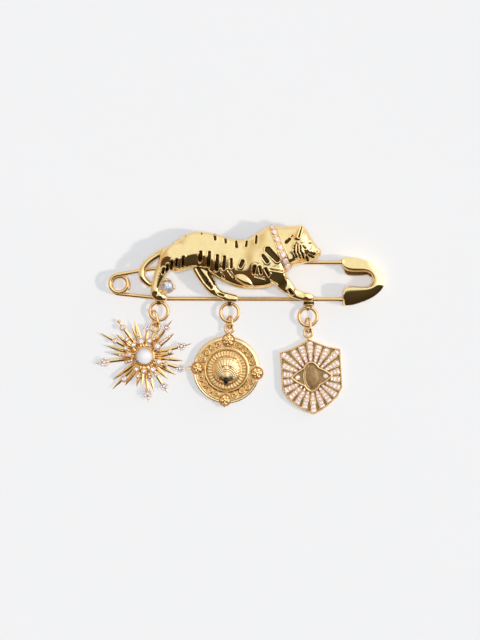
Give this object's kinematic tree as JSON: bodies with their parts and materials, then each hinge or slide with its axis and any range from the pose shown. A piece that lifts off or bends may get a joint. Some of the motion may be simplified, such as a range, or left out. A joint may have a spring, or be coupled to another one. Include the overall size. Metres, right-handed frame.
{
  "type": "pendant brooch",
  "caption": "Large safety-pin brooch with a prowling tiger on its wire and a sunburst, a medallion and an eye shield hanging from the paws",
  "frame": {"origin": "middle of the brooch's outline, on the plane that its back lies on", "axes": "+X along the pin from the spring coil to the clasp, +Y up the face from the drops to the tiger, +Z out of the face"},
  "size_m": [0.0771, 0.0508, 0.0094],
  "materials": {
    "gold": "polished gold plating",
    "pink_stone": "cut, very pale pink",
    "clear_stone": "cut, clear",
    "pearl": "white pearl lustre",
    "black_enamel": "glossy"
  },
  "bodies": {
    "frame": {"fixed_wire": "gold", "clasp_cap": "gold", "tiger": "gold", "collar": "gold", "collar_stones": "pink_stone", "leg_crystal": "clear_stone", "jump_ring_1": "gold", "jump_ring_2": "gold", "jump_ring_3": "gold", "link_1": "gold", "link_2": "gold", "link_3": "gold", "sunburst": "gold", "pearl": "pearl", "sunburst_stones": "pink_stone", "medallion": "gold", "medallion_nose": "black_enamel", "shield": "gold", "shield_stones": "pink_stone"},
    "coil": {"spring_coil": "gold"},
    "arm": {"pin_arm": "gold"}
  },
  "joints": [
    {"name": "arm_press", "type": "hinge", "parent": "frame", "child": "coil", "pos_m": [-0.0324, 0.00975, 0.00275], "axis": [0, 0, 1], "range_deg": [-4, 0], "stiffness_Nm_per_rad": 0.03, "springref_deg": 5.73},
    {"name": "arm_swing", "type": "hinge", "parent": "coil", "child": "arm", "pos_m": [-0.02887, 0.01276, 0.00225], "axis": [-0.1736, 0.9848, 0], "range_deg": [0, 15], "stiffness_Nm_per_rad": 0.03, "springref_deg": -2.86}
  ]
}
